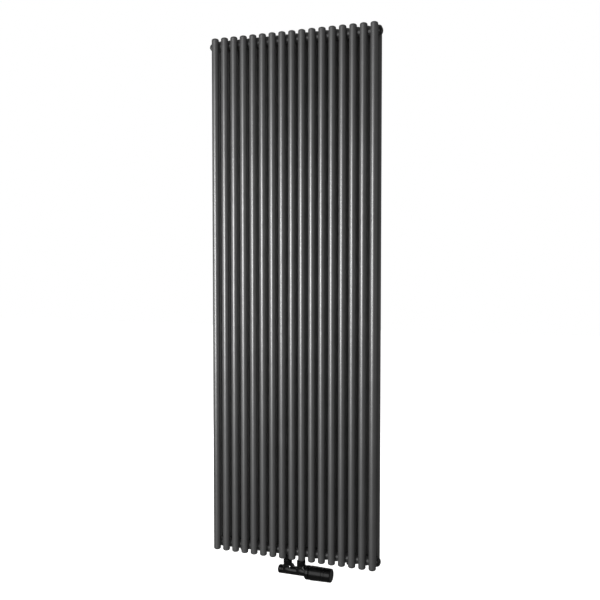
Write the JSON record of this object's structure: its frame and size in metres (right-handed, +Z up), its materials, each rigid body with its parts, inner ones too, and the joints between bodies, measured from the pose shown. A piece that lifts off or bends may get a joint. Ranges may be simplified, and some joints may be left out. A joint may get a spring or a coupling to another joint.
{
  "type": "vertical tubular radiator with thermostatic valve",
  "caption": "Tall wall radiator with two rows of round tubes between horizontal headers, and a thermostatic valve under its bottom centre.",
  "frame": {"origin": "on the wall, at the middle of the rows of tubes and of the tubes' length", "axes": "+X to the right, towards the thermostatic head; +Y to the wall; +Z up"},
  "size_m": [0.6294, 0.1095, 1.87],
  "materials": {
    "satin_paint": "satin powder coat",
    "bracket_paint": "satin powder coat",
    "gloss_plug": "gloss",
    "valve_enamel": "gloss",
    "head_plastic": "semi-gloss moulded",
    "brass": "machined",
    "spindle_steel": "ground",
    "sensor_cup": "drawn"
  },
  "bodies": {
    "radiator": {"front_tube_01": "satin_paint", "front_tube_02": "satin_paint", "front_tube_03": "satin_paint", "front_tube_04": "satin_paint", "front_tube_05": "satin_paint", "front_tube_06": "satin_paint", "front_tube_07": "satin_paint", "front_tube_08": "satin_paint", "front_tube_09": "satin_paint", "front_tube_10": "satin_paint", "front_tube_11": "satin_paint", "front_tube_12": "satin_paint", "front_tube_13": "satin_paint", "front_tube_14": "satin_paint", "front_tube_15": "satin_paint", "front_tube_16": "satin_paint", "front_tube_17": "satin_paint", "rear_tube_01": "satin_paint", "rear_tube_02": "satin_paint", "rear_tube_03": "satin_paint", "rear_tube_04": "satin_paint", "rear_tube_05": "satin_paint", "rear_tube_06": "satin_paint", "rear_tube_07": "satin_paint", "rear_tube_08": "satin_paint", "rear_tube_09": "satin_paint", "rear_tube_10": "satin_paint", "rear_tube_11": "satin_paint", "rear_tube_12": "satin_paint", "rear_tube_13": "satin_paint", "rear_tube_14": "satin_paint", "rear_tube_15": "satin_paint", "rear_tube_16": "satin_paint", "rear_tube_17": "satin_paint", "top_header": "satin_paint", "bottom_header": "satin_paint", "top_left_bracket": "bracket_paint", "top_right_bracket": "bracket_paint", "bottom_left_bracket": "bracket_paint", "bottom_right_bracket": "bracket_paint", "vent_plug": "gloss_plug", "blind_plug": "gloss_plug", "valve_block": "valve_enamel", "left_union_nut": "valve_enamel", "left_tail_nipple": "valve_enamel", "left_pipe_nut": "valve_enamel", "right_union_nut": "valve_enamel", "right_tail_nipple": "valve_enamel", "right_pipe_nut": "valve_enamel", "lockshield_cap": "head_plastic", "thermostatic_cartridge": "brass", "return_spring": "spindle_steel", "head_nut": "valve_enamel", "head_base": "head_plastic"},
    "handwheel": {"handwheel": "head_plastic"},
    "sensor": {"wax_sensor": "sensor_cup", "pressure_pin": "spindle_steel"},
    "valve_spindle": {"valve_spindle": "spindle_steel"},
    "lockshield_spindle": {"lockshield_spindle": "brass"},
    "vent_spindle": {"vent_spindle": "brass"}
  },
  "joints": [
    {"name": "handwheel_turn", "type": "hinge", "parent": "radiator", "child": "handwheel", "pos_m": [0.09, -0.075, -0.945], "axis": [1, 0, 0], "range_deg": [-150, 150]},
    {"name": "sensor_slide", "type": "slide", "parent": "radiator", "child": "sensor", "axis": [1, 0, 0], "range_m": [-0.0014, 0.0014]},
    {"name": "valve_spindle_slide", "type": "slide", "parent": "radiator", "child": "valve_spindle", "axis": [1, 0, 0], "range_m": [-0.0014, 0.0014]},
    {"name": "lockshield_turn", "type": "hinge", "parent": "radiator", "child": "lockshield_spindle", "pos_m": [-0.04, -0.075, -0.945], "axis": [1, 0, 0], "range_deg": [0, 1080]},
    {"name": "vent_turn", "type": "hinge", "parent": "radiator", "child": "vent_spindle", "pos_m": [0.302, -0.075, 0.875], "axis": [1, 0, 0], "range_deg": [0, 360]}
  ],
  "couplings": [
    {"joint": "sensor_slide", "follows": "handwheel_turn", "m_per_rad": 0.0005},
    {"joint": "valve_spindle_slide", "follows": "handwheel_turn", "m_per_rad": 0.0005}
  ]
}
